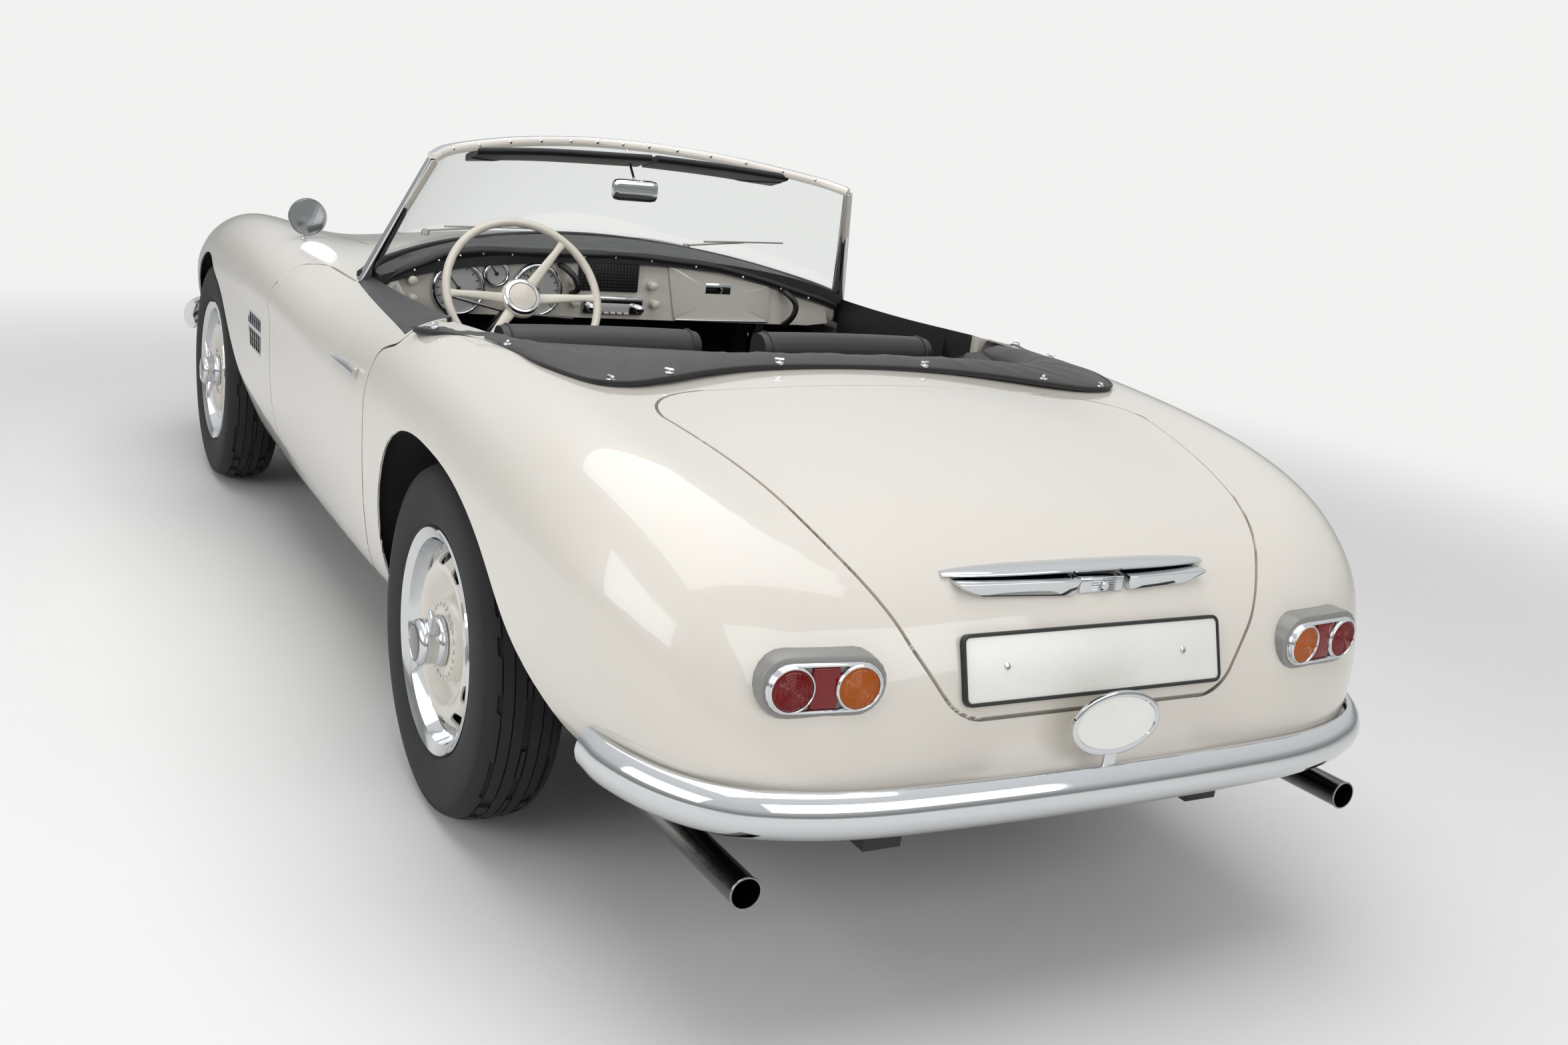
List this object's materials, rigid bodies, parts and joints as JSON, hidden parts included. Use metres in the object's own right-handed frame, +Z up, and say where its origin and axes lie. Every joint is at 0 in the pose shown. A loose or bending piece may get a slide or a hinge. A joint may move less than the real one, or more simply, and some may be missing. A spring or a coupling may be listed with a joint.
{
  "type": "roadster convertible",
  "caption": "Classic two-seat open roadster with folded soft top, hinged doors, bonnet and boot lid, turning wheels and working steering.",
  "frame": {"origin": "on the ground under the middle of the car's overall length and width", "axes": "+X forwards to the nose, +Y to the car's left, +Z up"},
  "size_m": [4.3789, 1.6724, 1.2596],
  "materials": {
    "body_paint": "gloss ivory enamel",
    "frame_paint": "satin black chassis paint",
    "black_leather": "grained black hide",
    "chrome_plate": "bright plating",
    "screen_glass": "clear laminated glass",
    "lamp_glass": "fluted clear glass",
    "red_lens": "moulded red lens",
    "amber_lens": "moulded amber lens",
    "black_plastic": "matt black moulding",
    "tyre_rubber": "moulded black rubber",
    "hood_cloth": "black hood cover cloth",
    "bare_steel": "dull steel",
    "cast_block": "cast iron and alloy, painted",
    "silver_dial": "silver dial faces in chrome bezels",
    "ivory_wheel": "ivory moulded rim",
    "plate_white": "plain white enamel"
  },
  "bodies": {
    "body": {"sill_panels": "body_paint", "front_body": "body_paint", "rear_body": "body_paint", "inner_panels": "frame_paint", "boot_panels": "frame_paint", "engine_bay_panels": "frame_paint", "chassis_frame": "frame_paint", "engine": "cast_block", "front_suspension": "frame_paint", "rear_axle": "frame_paint", "exhaust": "bare_steel", "fuel_tank": "frame_paint", "rear_bumper": "chrome_plate", "front_bumper": "chrome_plate", "nose_grilles": "chrome_plate", "headlamps": "lamp_glass", "front_indicators": "amber_lens", "tail_lamps": "red_lens", "side_vents": "chrome_plate", "windscreen_glass": "screen_glass", "windscreen_frame": "chrome_plate", "wipers": "bare_steel", "sun_visors": "black_leather", "interior_mirror": "chrome_plate", "exterior_mirror": "chrome_plate", "dashboard": "body_paint", "dash_pad": "black_leather", "instruments": "silver_dial", "dash_fittings": "chrome_plate", "grab_handles": "black_plastic", "steering_column": "bare_steel", "seat_left": "black_leather", "seat_right": "black_leather", "controls": "chrome_plate", "hood_cover": "hood_cloth", "oval_badge": "chrome_plate"},
    "bonnet": {"bonnet": "body_paint"},
    "boot_lid": {"boot_lid": "body_paint", "boot_handle": "chrome_plate", "number_plate": "plate_white"},
    "door_left": {"door_left": "body_paint", "door_trim_left": "black_leather", "door_handle_left": "chrome_plate"},
    "door_right": {"door_right": "body_paint", "door_trim_right": "black_leather", "door_handle_right": "chrome_plate"},
    "steering_wheel": {"steering_wheel": "ivory_wheel"},
    "knuckle_left": {"knuckle_left": "bare_steel"},
    "knuckle_right": {"knuckle_right": "bare_steel"},
    "wheel_front_left": {"wheel_front_left": "chrome_plate", "tyre_front_left": "tyre_rubber"},
    "wheel_front_right": {"wheel_front_right": "chrome_plate", "tyre_front_right": "tyre_rubber"},
    "wheel_rear_left": {"wheel_rear_left": "chrome_plate", "tyre_rear_left": "tyre_rubber"},
    "wheel_rear_right": {"wheel_rear_right": "chrome_plate", "tyre_rear_right": "tyre_rubber"}
  },
  "joints": [
    {"name": "door_left_hinge", "type": "hinge", "parent": "body", "child": "door_left", "pos_m": [0.418, 0.83, 0.6], "axis": [0, 0, -1], "range_deg": [0, 65]},
    {"name": "door_right_hinge", "type": "hinge", "parent": "body", "child": "door_right", "pos_m": [0.418, -0.83, 0.6], "axis": [0, 0, 1], "range_deg": [0, 65]},
    {"name": "bonnet_hinge", "type": "hinge", "parent": "body", "child": "bonnet", "pos_m": [1.939, 0, 0.712], "axis": [0, 1, 0], "range_deg": [0, 60]},
    {"name": "boot_hinge", "type": "hinge", "parent": "body", "child": "boot_lid", "pos_m": [-1.297, 0, 0.905], "axis": [0, 1, 0], "range_deg": [0, 60]},
    {"name": "steer_left", "type": "hinge", "parent": "body", "child": "knuckle_left", "pos_m": [1.375, 0.63, 0.348], "axis": [0, 0, 1], "range_deg": [-30, 30]},
    {"name": "steer_right", "type": "hinge", "parent": "body", "child": "knuckle_right", "pos_m": [1.375, -0.63, 0.348], "axis": [0, 0, 1], "range_deg": [-30, 30]},
    {"name": "steering_wheel_turn", "type": "hinge", "parent": "body", "child": "steering_wheel", "pos_m": [-0.241, 0.346, 0.882], "axis": [-0.8572, 0, 0.515], "range_deg": [-480, 480]},
    {"name": "spin_front_left", "type": "hinge", "parent": "knuckle_left", "child": "wheel_front_left", "pos_m": [1.375, 0.7225, 0.348], "axis": [0, 1, 0], "continuous": true},
    {"name": "spin_front_right", "type": "hinge", "parent": "knuckle_right", "child": "wheel_front_right", "pos_m": [1.375, -0.7225, 0.348], "axis": [0, 1, 0], "continuous": true},
    {"name": "spin_rear_left", "type": "hinge", "parent": "body", "child": "wheel_rear_left", "pos_m": [-1.105, 0.7125, 0.348], "axis": [0, 1, 0], "continuous": true},
    {"name": "spin_rear_right", "type": "hinge", "parent": "body", "child": "wheel_rear_right", "pos_m": [-1.105, -0.7125, 0.348], "axis": [0, 1, 0], "continuous": true}
  ],
  "couplings": [
    {"joint": "steer_right", "follows": "steer_left", "ratio": 1},
    {"joint": "steering_wheel_turn", "follows": "steer_left", "ratio": 16}
  ]
}
